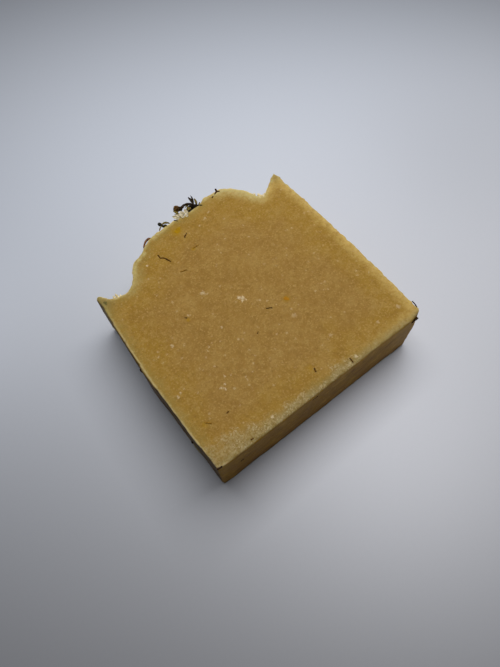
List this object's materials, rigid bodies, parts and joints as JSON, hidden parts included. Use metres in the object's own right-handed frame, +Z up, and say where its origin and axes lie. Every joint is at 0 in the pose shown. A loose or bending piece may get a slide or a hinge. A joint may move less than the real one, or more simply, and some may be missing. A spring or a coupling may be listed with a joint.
{
  "type": "handmade soap bar with dried flowers",
  "caption": "Thick square slice of handmade soap with a combed, peaked top edge and dried flower buds, petals and stalk pieces bedded in it.",
  "frame": {"origin": "on the cut face that the bar lies on, half way across its width and half way between the mould base and the crown", "axes": "+X along the mould base, +Y from the mould base to the combed top, +Z up through the thickness"},
  "size_m": [0.0817, 0.0864, 0.0235],
  "materials": {
    "soap": "waxy soap, olive brown, satin where the wire cut it",
    "flower_head": "dry flower head, matt",
    "pale_petal": "dry pale petal, matt",
    "dry_stalk": "dry brown stalk, matt",
    "yellow_petal": "dry yellow petal, matt",
    "orange_petal": "dry orange petal, matt",
    "leaf": "dry green leaf, matt"
  },
  "bodies": {
    "root": {"soap_bar": "soap", "flower_sprig": "flower_head", "pale_petals": "pale_petal", "seed_head": "flower_head", "curled_stalk": "dry_stalk", "edge_twig": "dry_stalk", "face_stalks": "dry_stalk", "side_stalks": "dry_stalk", "top_stalks": "dry_stalk", "yellow_petal": "yellow_petal", "orange_petal": "orange_petal", "leaf_piece": "leaf"}
  },
  "joints": []
}
